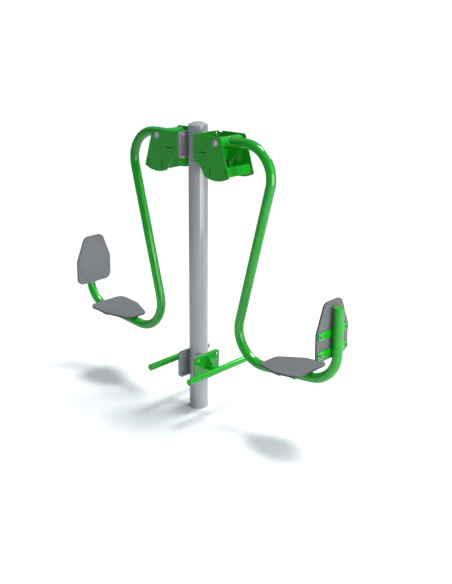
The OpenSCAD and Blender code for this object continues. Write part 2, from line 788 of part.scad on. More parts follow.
// Seat and backrest: local X runs from a board's wide end to its tip, local Z out of its face
module on_seat() {
    translate([seat_edge.x, 0, seat_edge.y]) rotate([0, -seat_slope, 0]) mirror([1, 0, 0]) children();
}
module on_backrest() {
    translate([back_edge.x, 0, back_edge.y]) rotate([0, -90, 0]) children();
}
module at_screws() {
    for (x = bar_places, side = [-1, 1]) translate([x, side * screw_offset, 0]) children();
}
module board() {
    points = outline([
        [0, -board_w / 2, board_wide_r], [board_side, -board_w / 2, board_mid_r],
        [board_l, -board_tip_w / 2, board_tip_r], [board_l, board_tip_w / 2, board_tip_r],
        [board_side, board_w / 2, board_mid_r], [0, board_w / 2, board_wide_r]
    ]);
    color(board_grey) difference() {
        translate([0, 0, -board_t]) linear_extrude(board_t) polygon(points);
        at_screws() translate([0, 0, -board_t - overrun])
            cylinder(d = screw_hole_d, h = board_t + 2 * overrun);
    }
}
module board_bars() {
    color(green) translate([0, 0, -board_t - bar_t]) for (x = bar_places) difference() {
        linear_extrude(bar_t) polygon(outline([
            [x - bar_w / 2, -bar_l / 2, bar_end_r], [x + bar_w / 2, -bar_l / 2, bar_end_r],
            [x + bar_w / 2, bar_l / 2, bar_end_r], [x - bar_w / 2, bar_l / 2, bar_end_r]
        ]));
        for (side = [-1, 1]) {
            translate([x, side * screw_offset, -overrun])
                cylinder(d = screw_hole_d, h = bar_t + 2 * overrun);
            translate([x, side * spare_hole_offset, -overrun])
                cylinder(d = spare_hole_d, h = bar_t + 2 * overrun);
        }
    }
}
module board_screws() {
    nut_face = -board_t - bar_t - washer_t;
    color(steel) at_screws() {
        button_bolt(screw_d, screw_head_d, screw_head_h,
            socket_share * screw_d, socket_share * screw_head_h, screw_nut_h + screw_tip - nut_face);
        translate([0, 0, nut_face]) plain_ring(screw_head_d, screw_hole_d, washer_t);
        translate([0, 0, nut_face - screw_nut_h]) difference() {
            cylinder(d = screw_nut_d, h = screw_nut_h, $fn = 6);
            translate([0, 0, -overrun])
                cylinder(d = screw_d + 2 * thread_gap, h = screw_nut_h + 2 * overrun);
        }
    }
}
module seat() { on_seat() board(); }
module seat_brackets() { on_seat() board_bars(); }
module backrest() { on_backrest() board(); }
module backrest_brackets() { on_backrest() board_bars(); }
module arm_screws() {
    on_seat() board_screws();
    on_backrest() board_screws();
}

// Foot bars
module foot_bar() {
    length = foot_bar_l - 2 * foot_cap_t;
    color(green) translate([foot_reach, -length / 2, foot_h]) rotate([-90, 0, 0])
        plain_ring(foot_bar_d, foot_bar_d - 2 * foot_wall, length);
}
module foot_bar_caps() {
    color(green) on_both() at_both_ends()
        translate([foot_reach, foot_bar_l / 2 - foot_cap_t, foot_h]) rotate([-90, 0, 0])
            cylinder(d = foot_bar_d, h = foot_cap_t);
}
module stub_solid(d) {
    translate([plate_face, 0, foot_h]) along_x() cylinder(d = d, h = foot_reach - plate_face);
}
module foot_stubs() {
    color(green) on_both() difference() {
        stub_solid(stub_d);
        translate([plate_face - overrun, 0, foot_h]) along_x()
            cylinder(d = stub_d - 2 * foot_wall, h = foot_reach - plate_face + 2 * overrun);
        translate([foot_reach, -foot_bar_l / 2, foot_h]) rotate([-90, 0, 0])
            cylinder(d = foot_bar_d, h = foot_bar_l);
    }
}
module foot_gussets() {
    color(green) on_both() difference() {
        upright_profile(-gusset_t / 2, gusset_t / 2) polygon([
            [plate_face, foot_h], [plate_face + gusset_l, foot_h],
            [plate_face + gusset_l, foot_h + stub_d / 2], [plate_face, foot_h + gusset_h]
        ]);
        stub_solid(stub_d);
    }
}

post_tube();
post_cap();
ground_socket();
upper_flange();  // right_upper_flange
on_left() upper_flange();  // left_upper_flange
lower_flange();  // right_lower_flange
on_left() lower_flange();  // left_lower_flange
housing_back_plate();  // right_housing_back_plate
on_left() housing_back_plate();  // left_housing_back_plate
housing_side_plate();  // right_housing_front_side_plate
on_left() housing_side_plate();  // left_housing_front_side_plate
mirror([0, 1, 0]) housing_side_plate();  // right_housing_rear_side_plate
on_left() mirror([0, 1, 0]) housing_side_plate();  // left_housing_rear_side_plate
housing_end_wall();  // right_housing_end_wall
on_left() housing_end_wall();  // left_housing_end_wall
stop_bracket();  // right_stop_bracket
on_left() stop_bracket();  // left_stop_bracket
axle();  // right_axle
on_left() axle();  // left_axle
foot_plate();  // right_foot_plate
on_left() foot_plate();  // left_foot_plate
foot_bar();  // right_foot_bar
on_left() foot_bar();  // left_foot_bar
foot_stubs();
foot_gussets();
foot_bar_caps();
rest_buffers();
buffer_studs();
travel_pads();
flange_bolts();
flange_washers();
flange_nuts();
axle_bolts();
axle_washers();
axle_spacers();
centre_sleeves();
bearing_inner_rings();
bearing_balls();
pivot_tube();  // right_pivot_tube
on_left() pivot_tube();  // left_pivot_tube
arm_tube();  // right_arm_tube
on_left() arm_tube();  // left_arm_tube
stop_fin();  // right_stop_fin
on_left() stop_fin();  // left_stop_fin
arm_end_cap();  // right_arm_end_cap
on_left() arm_end_cap();  // left_arm_end_cap
seat_brackets();  // right_seat_brackets
on_left() seat_brackets();  // left_seat_brackets
backrest_brackets();  // right_backrest_brackets
on_left() backrest_brackets();  // left_backrest_brackets
seat();  // right_seat
on_left() seat();  // left_seat
backrest();  // right_backrest
on_left() backrest();  // left_backrest
bearing_outer_rings();  // right_bearing_outer_rings
on_left() bearing_outer_rings();  // left_bearing_outer_rings
bearing_circlips();  // right_bearing_circlips
on_left() bearing_circlips();  // left_bearing_circlips
arm_screws();  // right_board_screws
on_left() arm_screws();  // left_board_screws
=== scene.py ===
"""Looks for the outdoor double leg press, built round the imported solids.

Metres, +Z up, +X to the right-hand unit, and the photograph is taken from the front right.
"""

import json
import math

import bmesh
import bpy
from mathutils import Matrix, Vector

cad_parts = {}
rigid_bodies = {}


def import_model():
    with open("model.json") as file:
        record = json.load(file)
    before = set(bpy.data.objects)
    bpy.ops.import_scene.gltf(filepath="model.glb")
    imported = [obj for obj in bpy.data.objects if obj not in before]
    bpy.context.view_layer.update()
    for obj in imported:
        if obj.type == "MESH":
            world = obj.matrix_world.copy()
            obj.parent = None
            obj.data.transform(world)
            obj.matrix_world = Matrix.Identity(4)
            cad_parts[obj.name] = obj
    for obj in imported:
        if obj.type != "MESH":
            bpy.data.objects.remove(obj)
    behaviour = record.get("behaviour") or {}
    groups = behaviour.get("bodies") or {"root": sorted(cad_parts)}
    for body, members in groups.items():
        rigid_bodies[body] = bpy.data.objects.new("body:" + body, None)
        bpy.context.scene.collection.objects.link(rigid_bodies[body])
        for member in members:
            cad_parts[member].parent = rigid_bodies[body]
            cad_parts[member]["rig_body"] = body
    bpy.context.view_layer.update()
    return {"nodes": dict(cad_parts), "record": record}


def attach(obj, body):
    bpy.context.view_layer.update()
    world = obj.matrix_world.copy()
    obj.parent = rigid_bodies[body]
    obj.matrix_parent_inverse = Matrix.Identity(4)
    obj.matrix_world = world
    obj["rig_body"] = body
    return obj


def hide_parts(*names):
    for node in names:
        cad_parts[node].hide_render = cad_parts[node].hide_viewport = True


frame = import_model()
NODES = frame["nodes"]
SLOT_OF = {part["node"]: part["material_slot"] for part in frame["record"]["subparts"]}
SIDES = ((1, "right"), (-1, "left"))

# Camera, matched to the photograph: its place, its turn to the left and down, and its shifted lens
CAMERA_PLACE = Vector((4.0037, -4.1624, 2.7236))
CAMERA_TURN = math.radians(43.15)
CAMERA_DROP = math.radians(13.30)
FRAME_SIZE = (452, 584)
FOCAL_PIXELS = 898.25
PRINCIPAL_POINT = (209.54, 214.74)
SENSOR_MM = 36

# Post and flanges
POST_R = 0.0635
POST_TOP = 1.957
# Inner faces of the flanges and outer faces of the plates bolted to them
FLANGE_X = 0.0615
PLATE_X = 0.0795
UPPER_FLANGE_Z = (1.737, 1.915)
LOWER_FLANGE_Z = (0.221, 0.405)

# Flange bolts, each row with its reach to the side and its two heights, and pivot bolts
UPPER_BOLTS = (0.086, (1.7555, 1.8965))
LOWER_BOLTS = (0.090, (0.2395, 0.376))
WASHER_R = 0.012
WASHER_T = 0.0025
BOLT_R = 0.006
HOLE_R = 0.0065
HEAD_R = 0.0105
HEAD_H = 0.0066
SOCKET_R = 0.0045
SOCKET_DEPTH = 0.0036
NUT_R = 0.0105
NUT_HEX_H = 0.010
NUT_DOME_R = 0.0085
NUT_H = 0.022
NUT_NECK_H = 0.0006
BIG_WASHER_R = 0.022
BIG_WASHER_T = 0.003
SHOWN_SHANK = 0.004

# Housing and pivot
PIVOT = Vector((0.2623, 0, 1.876))
PIVOT_TUBE_R = 0.034
SIDE_FACE = 0.114
SIDE_T = 0.006
BRACKET_TOP = 1.808
WALL_LEAN = math.radians(16.4)
WALL_TOP = 1.728
WALL_H = 0.062
WALL_OUTER_X = 0.3407
# A face further out than the side plates' inner faces by this much is the end of a tab, and takes the painted
# slot shade
TAB_MARGIN = 0.0004

# Bearings: how far the facets of the balls keep clear of the facets of their tracks
BALL_FACET_GAP = 0.00005

# Arm
ARM_R = 0.03175
ARM_END_Z = 0.980
BACK_X = 1.1422
# The leg leans out to the knee on a line that meets the pivot's height at LEG_TOP_X
LEG_LEAN = math.radians(14.6)
LEG_TOP_X = 0.675
KNEE_Z = 0.427
FIN_HALF = 0.004
# Height minus X along the fin's sloping edge
FIN_SLOPE_OFFSET = 1.458

# Boards, the bars under them and their screws
SEAT_SLOPE = math.radians(5.5)
SEAT_EDGE_FROM_HEEL = 0.1686
BACK_EDGE_Z = 0.663
BOARD_T = 0.012
BAR_T = 0.008
BAR_W = 0.050
BAR_PLACES = (0.046, 0.162)
SCREW_Y = 0.130
SCREW_R = 0.004
SCREW_HOLE_R = 0.0045
SCREW_HEAD_R = 0.008
SCREW_HEAD_H = 0.003
SCREW_SOCKET_R = 0.0024
SCREW_SOCKET_DEPTH = 0.0018
SCREW_NUT_R = 0.0075
SCREW_NUT_H = 0.0065
SCREW_TIP = 0.003

# Foot bars
FOOT_BAR_X = 0.1835
FOOT_BAR_Z = 0.312
FOOT_BAR_R = 0.02225
FOOT_BAR_HALF = 0.2835
FOOT_DISC_T = 0.003
STUB_R = 0.021
GUSSET_HALF = 0.003
GUSSET_TOP = 0.396
GUSSET_OUT = 0.1365

# How far the seams stand off a round face, the faces of a corner, a flat face and the arm's ends
SEAM_LIFT = 0.0004
CORNER_LIFT = 0.0006
FLUSH_LIFT = 0.0005
ARM_LIFT = 0.0003
NOTCH_DEPTH_SHARE = 0.985
HOUSING_SEAM_Z = (1.745, 1.903)
BRACKET_SEAM_Y = 0.105

# Steps of round shapes, and the shares of a hexagon's corners that a chamfer leaves
RING_POINTS = 48
BEAD_POINTS = 72
FINE_BEAD_POINTS = 96
FLANGE_ARC_STEPS = 12
DOME_STEPS = 8
CHAMFER_SHARES = (0.35, 0.7, 1.0)

# Weld beads: their ripples, and the radius of each seam
BEAD_SIDES = 8
BEAD_RIPPLE = 0.0042
BEAD_RINGS_PER_RIPPLE = 4
BEAD_RISE_SHARE = 0.13
BEAD_TIP_SHARE = 0.35
FLANGE_SEAM = 0.0030
ARM_ROOT_SEAM = 0.0030
PLATE_SEAM = 0.0026
GUSSET_SEAM = 0.0024
WALL_SEAM = 0.0022
FOOT_BAR_SEAM = 0.0022
CAP_SEAM = 0.0012
ARM_CAP_SEAM = 0.0011
FOOT_DISC_SEAM = 0.0010

# Rounding of edges: what counts as one point, one flat face, a sharp edge, a smooth turn and a broad face
MERGE_DISTANCE = 1e-5
FLAT_ANGLE = math.radians(1.5)
SHARP_ANGLE = math.radians(28)
SMOOTH_ANGLE = math.radians(40)
BROAD_FACE_SHARE = 0.9

# Each kind of piece with its edge radius, first those that come in a right and a left one
PAIRED_EDGES = (
    (("upper_flange", "lower_flange", "foot_plate", "housing_back_plate"), 0.0010),
    (("housing_front_side_plate", "housing_rear_side_plate"), 0.0007),
    (("stop_bracket", "housing_end_wall"), 0.0007),
    (("stop_fin", "seat_brackets", "backrest_brackets"), 0.0009),
    (("arm_end_cap",), 0.0012),
    (("seat", "backrest"), 0.0020),
    (("pivot_tube",), 0.0010),
)
SINGLE_EDGES = (
    ("foot_gussets", 0.0008),
    ("foot_stubs", 0.0006),
    ("rest_buffers", 0.0030),
    ("travel_pads", 0.0015),
    ("buffer_studs", 0.0006),
    ("foot_bar_caps", 0.0009),
)
EDGE_STEPS = 2
FINE_EDGE_STEPS = 3
FINE_EDGED = ("arm_end_cap", "seat", "backrest", "rest_buffers", "travel_pads")
TABBED = ("stop_bracket", "housing_end_wall")
BOARDS = ("seat", "backrest")

# Studio floor: how much light it throws back beside the object and far away, and where that changes
FLOOR_R = 400.0
FLOOR_SIDES = 96
PAPER_TONES = ((0.985, 0.99, 0.99, 1.0), (0.99, 0.99, 0.99, 1.0))
NEAR_BOUNCE = (0.62, 0.63, 0.64, 1.0)
FAR_BOUNCE = (0.26, 0.27, 0.28, 1.0)
BOUNCE_EDGES = (2.2, 5.5)

# Studio lights: a soft overhead key, a wall of light on the right, and fills
LIGHTS = (
    {
        "name": "key", "kind": "SUN", "place": (0.7, 1.2, 5.2), "target": (0, 0, 0),
        "energy": 2.48, "angle": math.radians(19),
    },
    {
        "name": "right_wall", "kind": "AREA", "place": (4.6, -0.2, 1.1), "target": (0, 0, 1.1),
        "energy": 118.0, "shape": "RECTANGLE", "size": 4.0, "size_y": 2.1,
    },
    {
        "name": "left_fill", "kind": "AREA", "place": (2.2, -1.2, 1.0), "target": (-1.14, 0, 0.84),
        "energy": 0.30, "shape": "DISK", "size": 0.4, "spread": math.radians(12),
    },
    {
        "name": "side_fill", "kind": "SUN", "place": (4.0, 0.3, 1.5), "target": (0, 0, 0),
        "energy": 0.50, "angle": math.radians(40),
    },
    {
        "name": "rear_panel", "kind": "AREA", "place": (0.4, 4.0, 3.6), "target": (0.2, 0, 1.2),
        "energy": 70.0, "shape": "RECTANGLE", "size": 2.0, "size_y": 0.9,
    },
)
UNREFLECTED_LIGHT = "left_fill"

# Studio air: the height on the sky's ramp and the colour there, low and high
LOW_AIR = (0.2, (0.11, 0.125, 0.145, 1.0))
HIGH_AIR = (0.85, (0.295, 0.355, 0.405, 1.0))

# Grain of the surfaces: noise scales, in repeats per metre
DRIFT_SCALE = 2.6
SPECK_SCALE = 900.0
WEAR_SCALE = 70.0
SHEEN_SCALE = 40.0
PEEL_SCALE = 420.0
CLOUD_SCALE = 5.0
FLECK_SCALE = 700.0
PEBBLE_SCALE = 650.0
MATT_SCALE = 60.0
DUST_SCALE = 45.0
RUBBER_SCALE = 300.0
PAPER_SCALE = 1.2
SAW_SCALE = 1200.0
FINE_GRAIN_SCALE = 1600.0
SCRATCH_SCALES = (900.0, 120.0, 120.0)
WORN_EDGE_R = 0.0012
PAINTED_EDGE_R = 0.0008
FLECK_COLOUR = (0.34, 0.34, 0.35, 1.0)


# Materials


class Graph:
    """A material's node tree, with short calls that add a node, set its values and link its inputs."""

    def __init__(self, name):
        self.material = bpy.data.materials.new(name)
        self.material.use_nodes = True
        self.tree = self.material.node_tree
        self.shader = self.tree.nodes["Principled BSDF"]

    def add(self, kind, inputs=None, **settings):
        node = self.tree.nodes.new(kind)
        for key, value in settings.items():
            setattr(node, key, value)
        for key, value in (inputs or {}).items():
            self.put(node.inputs[key], value)
        return node

    def put(self, socket, value):
        if isinstance(value, bpy.types.NodeSocket):
            self.tree.links.new(value, socket)
        else:
            socket.default_value = value

    def set(self, **inputs):
        for key, value in inputs.items():
            self.put(self.shader.inputs[key.replace("_", " ")], value)

    def place(self):
        return self.add("ShaderNodeTexCoord").outputs["Object"]

    def noise(self, scale, detail=2.0, roughness=0.5, vector=None):
        inputs = {"Vector": vector or self.place(), "Scale": scale, "Detail": detail, "Roughness": roughness}
        return self.add("ShaderNodeTexNoise", inputs).outputs["Fac"]

    def spread(self, value, low, high, to_low, to_high):
        inputs = {"Value": value, "From Min": low, "From Max": high, "To Min": to_low, "To Max": to_high}
        return self.add("ShaderNodeMapRange", inputs).outputs["Result"]

    def blend(self, share, first, second):
        node = self.add("ShaderNodeMix", data_type="RGBA")
        self.put(node.inputs["Factor"], share)
        self.put(node.inputs["A"], first)
        self.put(node.inputs["B"], second)
        return node.outputs["Result"]

    def math(self, kind, first, second):
        return self.add("ShaderNodeMath", {0: first, 1: second}, operation=kind).outputs[0]

    def bump(self, height, strength, distance, normal=None):
        inputs = {"Height": height, "Strength": strength, "Distance": distance}
        if normal is not None:
            inputs["Normal"] = normal
        return self.add("ShaderNodeBump", inputs).outputs["Normal"]

    def edge_share(self, radius, low, high):
        """0 on flat faces and near 1 on a sharp edge, from how far a rounded normal leaves the true one."""
        rounded = self.add("ShaderNodeBevel", {"Radius": radius}, samples=4).outputs["Normal"]
        true = self.add("ShaderNodeNewGeometry").outputs["Normal"]
        dot = self.add("ShaderNodeVectorMath", {0: rounded, 1: true}, operation="DOT_PRODUCT")
        return self.spread(dot.outputs["Value"], high, low, 0.0, 1.0)


def colour(r, g, b):
    """Opaque colour in linear light."""
    return (r, g, b, 1.0)


def powder_coat(name, base, shade, worn, roughness, peel, coat):
    """Sprayed coat: slow drifts of tone, a fine orange peel, fine specks and slightly rubbed edges."""
    g = Graph(name)
    drift = g.spread(g.noise(DRIFT_SCALE, 1.0), 0.3, 0.7, 0.0, 1.0)
    tone = g.blend(drift, base, shade)
    specks = g.spread(g.noise(SPECK_SCALE, 1.0), 0.66, 0.76, 0.0, 0.35)
    tone = g.blend(specks, tone, worn)
    patches = g.spread(g.noise(WEAR_SCALE, 4.0), 0.42, 0.62, 0.0, 0.7)
    rub = g.math("MULTIPLY", g.edge_share(WORN_EDGE_R, 0.80, 0.99), patches)
    tone = g.blend(rub, tone, worn)
    rough = g.spread(g.noise(SHEEN_SCALE, 2.0), 0.3, 0.7, roughness - 0.01, roughness + 0.02)
    g.set(Base_Color=tone, Roughness=rough, Coat_Weight=coat, Coat_Roughness=0.04)
    rounded = g.add("ShaderNodeBevel", {"Radius": PAINTED_EDGE_R}, samples=4).outputs["Normal"]
    g.set(Normal=g.bump(g.noise(PEEL_SCALE, 2.0), peel, 0.0004, rounded))
    return g.material


def board_face(name, base, shade):
    """Matt sheet with a fine pebbled grain and faint cloudiness."""
    g = Graph(name)
    cloud = g.spread(g.noise(CLOUD_SCALE, 4.0), 0.3, 0.7, 0.0, 1.0)
    grain = {"Vector": g.place(), "Scale": PEBBLE_SCALE}
    pebble = g.add("ShaderNodeTexVoronoi", grain, feature="F1").outputs["Distance"]
    flecks = g.spread(g.noise(FLECK_SCALE, 3.0), 0.60, 0.72, 0.0, 0.22)
    tone = g.blend(flecks, g.blend(cloud, base, shade), FLECK_COLOUR)
    g.set(Base_Color=tone, Roughness=g.spread(g.noise(MATT_SCALE, 3.0), 0.3, 0.7, 0.46, 0.6))
    g.set(Normal=g.bump(pebble, 0.16, 0.0003, g.bump(g.noise(FINE_GRAIN_SCALE, 2.0), 0.1, 0.0001)))
    return g.material


def board_edge(name, base, shade):
    """Sawn edge: darker, with fine layers along the sheet."""
    g = Graph(name)
    saw = g.noise(SAW_SCALE, 3.0)
    g.set(Base_Color=g.blend(saw, base, shade), Roughness=g.spread(saw, 0.3, 0.7, 0.5, 0.72))
    g.set(Normal=g.bump(saw, 0.3, 0.0002))
    return g.material


def turned_steel(name, base, shade, roughness):
    """Bright metal with fine scratches and a little dulling."""
    g = Graph(name)
    along = {"Vector": g.place(), "Scale": SCRATCH_SCALES}
    lines = g.noise(1.0, 3.0, vector=g.add("ShaderNodeMapping", along).outputs["Vector"])
    dull = g.spread(g.noise(MATT_SCALE, 4.0), 0.35, 0.7, 0.0, 1.0)
    g.set(
        Base_Color=g.blend(dull, base, shade),
        Metallic=1.0,
        Roughness=g.spread(dull, 0.0, 1.0, roughness, roughness + 0.14),
        Normal=g.bump(lines, 0.12, 0.0001),
    )
    return g.material


def moulded_rubber(name, base, dusty):
    """Matt black rubber with a little dust."""
    g = Graph(name)
    dust = g.spread(g.noise(DUST_SCALE, 5.0), 0.45, 0.75, 0.0, 0.5)
    g.set(
        Base_Color=g.blend(dust, base, dusty),
        Roughness=g.spread(g.noise(RUBBER_SCALE, 2.0), 0.3, 0.7, 0.55, 0.8),
        Normal=g.bump(g.noise(SPECK_SCALE, 2.0), 0.2, 0.0002),
    )
    return g.material


MATERIALS = {
    "green_coat": powder_coat(
        "green_coat_paint", roughness=0.16, peel=0.04, coat=0.7,
        base=colour(0.006, 0.41, 0.011), shade=colour(0.005, 0.395, 0.010), worn=colour(0.03, 0.48, 0.04),
    ),
    "post_coat": powder_coat(
        "post_coat_paint", roughness=0.16, peel=0.03, coat=0.8,
        base=colour(0.45, 0.45, 0.475), shade=colour(0.435, 0.435, 0.46), worn=colour(0.55, 0.55, 0.57),
    ),
    "flange_coat": powder_coat(
        "flange_coat_paint", roughness=0.20, peel=0.04, coat=0.5,
        base=colour(0.40, 0.385, 0.41), shade=colour(0.38, 0.365, 0.39), worn=colour(0.52, 0.51, 0.53),
    ),
    "board": board_face(
        "board_sheet", base=colour(0.154, 0.156, 0.164), shade=colour(0.147, 0.149, 0.157)
    ),
    "rubber": moulded_rubber(
        "buffer_rubber", base=colour(0.018, 0.018, 0.02), dusty=colour(0.06, 0.058, 0.055)
    ),
    "fastener_steel": turned_steel(
        "fastener_steel_bright", roughness=0.12, base=colour(0.60, 0.60, 0.62), shade=colour(0.46, 0.46, 0.48)
    ),
    "bearing_steel": turned_steel(
        "bearing_steel_ground", roughness=0.26, base=colour(0.55, 0.55, 0.57), shade=colour(0.42, 0.42, 0.44)
    ),
}
BOARD_EDGE = board_edge(
    "board_cut_edge", base=colour(0.065, 0.065, 0.07), shade=colour(0.10, 0.10, 0.105)
)
SCREW_STEEL = turned_steel(
    "screw_steel_dull", roughness=0.28, base=colour(0.34, 0.34, 0.36), shade=colour(0.25, 0.25, 0.27)
)
WASHER_ZINC = powder_coat(
    "washer_zinc", roughness=0.30, peel=0.03, coat=0.2,
    base=colour(0.60, 0.60, 0.63), shade=colour(0.55, 0.55, 0.58), worn=colour(0.60, 0.60, 0.62),
)
# Near-black green for the ends of the tabs sunk in the side plates' slots: painted shade that stands in for
# the shadow deep in the slots
SLOT_PAINTED_SHADE = powder_coat(
    "tab_end_painted_shade", roughness=0.4, peel=0.03, coat=0.0,
    base=colour(0.002, 0.035, 0.003), shade=colour(0.002, 0.03, 0.003), worn=colour(0.004, 0.05, 0.005),
)


# Meshes


def new_piece(name, mesh, body, slot, materials=None):
    """A visible piece that rides on a body, in the slot's own material unless others are given."""
    piece = bpy.data.objects.new(name, mesh)
    bpy.context.scene.collection.objects.link(piece)
    for material in materials or [MATERIALS[slot]]:
        mesh.materials.append(material)
    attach(piece, body)
    return piece


def finish_mesh(bm, name):
    """Mesh with outward faces, smooth up to the angle of a real edge."""
    mesh = bpy.data.meshes.new(name)
    bmesh.ops.recalc_face_normals(bm, faces=bm.faces)
    for face in bm.faces:
        face.smooth = True
    bm.to_mesh(mesh)
    bm.free()
    mesh.set_sharp_from_angle(angle=SMOOTH_ANGLE)
    return mesh


def body_of(node):
    """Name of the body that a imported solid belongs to."""
    return NODES[node]["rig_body"]


def softened(node, radius, steps, edge_material=None, painted_shade_material=None):
    """A piece with the solid's shape and real rounded edges, which stands for that solid."""
    bm = bmesh.new()
    bm.from_mesh(NODES[node].data)
    bmesh.ops.remove_doubles(bm, verts=bm.verts, dist=MERGE_DISTANCE)
    bmesh.ops.dissolve_limit(bm, angle_limit=FLAT_ANGLE, verts=bm.verts, edges=bm.edges)
    sharp = [e for e in bm.edges if len(e.link_faces) == 2 and e.calc_face_angle(0) > SHARP_ANGLE]
    bmesh.ops.bevel(
        bm, geom=sharp, offset=radius, segments=steps, profile=0.5, affect="EDGES",
        clamp_overlap=True, loop_slide=False,
    )
    slot = SLOT_OF[node]
    materials = [MATERIALS[slot]]
    if edge_material:
        materials.append(edge_material)
        broad = max(bm.faces, key=lambda f: f.calc_area()).normal.copy()
        for face in bm.faces:
            face.material_index = 0 if abs(face.normal.dot(broad)) > BROAD_FACE_SHARE else 1
    # The tab ends in the slots take the near-black green, a painted shade that darkens the slots
    if painted_shade_material:
        materials.append(painted_shade_material)
        for face in bm.faces:
            if abs(face.calc_center_median().y) > SIDE_FACE + TAB_MARGIN:
                face.material_index = 1
    mesh = finish_mesh(bm, node + "_shape")
    piece = new_piece(node + "_shape", mesh, body_of(node), slot, materials)
    weighted = piece.modifiers.new("flat_faces", "WEIGHTED_NORMAL")
    weighted.keep_sharp = True
    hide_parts(node)
    return piece


def turns(count):
    """Angles at even steps round a circle."""
    return [2 * math.pi * i / count for i in range(count)]


def skin(bm, rings, closed=False):
    """Faces between rings of points, each ring joined to the next."""
    made = [[bm.verts.new(p) for p in ring] for ring in rings]
    pairs = list(zip(made, made[1:] + made[:1])) if closed else list(zip(made, made[1:]))
    for lower, upper in pairs:
        for i in range(len(lower)):
            j = (i + 1) % len(lower)
            bm.faces.new((lower[i], lower[j], upper[j], upper[i]))
    if not closed:
        bm.faces.new(made[0][::-1])
        bm.faces.new(made[-1])


def turned(bm, matrix, profile, closed=False):
    """Shape round +Z from (radius, height) pairs, where a radius may be a rule of the angle."""
    rings = []
    for radius, height in profile:
        ring = []
        for angle in turns(RING_POINTS):
            r = radius(angle) if callable(radius) else radius
            ring.append(matrix @ Vector((r * math.cos(angle), r * math.sin(angle), height)))
        rings.append(ring)
    skin(bm, rings, closed)


def hexagon(corner_r, limit=None):
    """Radius of a hexagon at an angle, cut back to a circle where a limit is given."""

    def radius(angle):
        turn = (angle % (math.pi / 3)) - math.pi / 6
        r = corner_r * math.cos(math.pi / 6) / math.cos(turn)
        return min(r, limit) if limit else r

    return radius


def chamfered_sides(corner_r, flat_r, height, low_share, high_share):
    """Profile of a hexagon's sides from the bottom up, with the corners cut back at both ends."""
    low = [(share, low_share * height * share) for share in CHAMFER_SHARES]
    high = [(share, height - high_share * height * share) for share in reversed(CHAMFER_SHARES)]
    return [(hexagon(corner_r, flat_r + (corner_r - flat_r) * share), z) for share, z in low + high]


def bolt_head(bm, matrix, head_r, head_h, shank_r, socket_r, socket_depth):
    """Button head with a chamfered hexagon socket, from the shank up."""
    lip = 0.06 * head_r
    mouth_r = socket_r * 1.18
    profile = [(shank_r, -SHOWN_SHANK), (shank_r, 0.0), (head_r - lip, 0.0), (head_r, lip * 0.5)]
    for i in range(DOME_STEPS + 1):
        angle = i / DOME_STEPS * math.pi / 2
        r = mouth_r + (head_r - mouth_r) * math.cos(angle)
        profile.append((r, lip + (head_h - lip) * math.sin(angle)))
    # The socket's chamfer, its walls and the drilled cone at its floor
    profile += [
        (socket_r * 1.06, head_h - 0.04 * head_h),
        (hexagon(socket_r), head_h - 0.14 * head_h),
        (hexagon(socket_r), head_h - socket_depth),
        (socket_r * 0.7, head_h - socket_depth - 0.05 * head_h),
        (socket_r * 0.05, head_h - socket_depth - 0.16 * head_h),
    ]
    turned(bm, matrix, profile)


def flat_ring(bm, matrix, outer_r, inner_r, thickness):
    """Washer with chamfered edges."""
    edge = 0.18 * thickness
    outline = [
        (inner_r, edge), (inner_r + edge, 0.0), (outer_r - edge, 0.0), (outer_r, edge),
        (outer_r, thickness - edge), (outer_r - edge, thickness), (inner_r + edge, thickness),
        (inner_r, thickness - edge),
    ]
    turned(bm, matrix, outline, closed=True)


def hex_nut(bm, matrix, corner_r, height, bore_r, tip_h):
    """Chamfered hexagon nut with the screw's rounded tip standing out of it."""
    flat_r = corner_r * math.cos(math.pi / 6)
    profile = [(flat_r * 0.96, 0.0)] + chamfered_sides(corner_r, flat_r, height, 0.09, 0.09)
    profile += [(flat_r * 0.94, height), (bore_r * 1.12, height), (bore_r * 1.02, height - 0.06 * height)]
    profile += [(bore_r, height - 0.02 * height), (bore_r, height + tip_h * 0.7)]
    profile.append((bore_r * 0.78, height + tip_h))
    turned(bm, matrix, profile)


def cap_nut(bm, matrix):
    """Hexagon nut closed by a dome, as one turned and milled piece."""
    flat_r = NUT_R * math.cos(math.pi / 6)
    profile = [(flat_r * 0.96, 0.0)] + chamfered_sides(NUT_R, flat_r, NUT_HEX_H, 0.06, 0.08)
    profile += [(NUT_DOME_R * 1.02, NUT_HEX_H), (NUT_DOME_R * 0.97, NUT_HEX_H + NUT_NECK_H)]
    foot = NUT_H - NUT_DOME_R * 0.85
    for i in range(DOME_STEPS):
        angle = i / DOME_STEPS * math.pi / 2
        profile.append((NUT_DOME_R * math.cos(angle), foot + (NUT_H - foot) * math.sin(angle)))
    profile.append((NUT_DOME_R * 0.04, NUT_H))
    turned(bm, matrix, profile)


def frame_at(point, axis):
    """Matrix that puts +Z along axis at a point."""
    return Matrix.Translation(Vector(point)) @ Vector(axis).to_track_quat("Z", "Y").to_matrix().to_4x4()


# Fasteners


def flange_bolt_places():
    """Side, place across and height of each of the sixteen flange bolts."""
    for side in (-1, 1):
        for y, rows in (UPPER_BOLTS, LOWER_BOLTS):
            for sign in (-1, 1):
                for z in rows:
                    yield side, sign * y, z


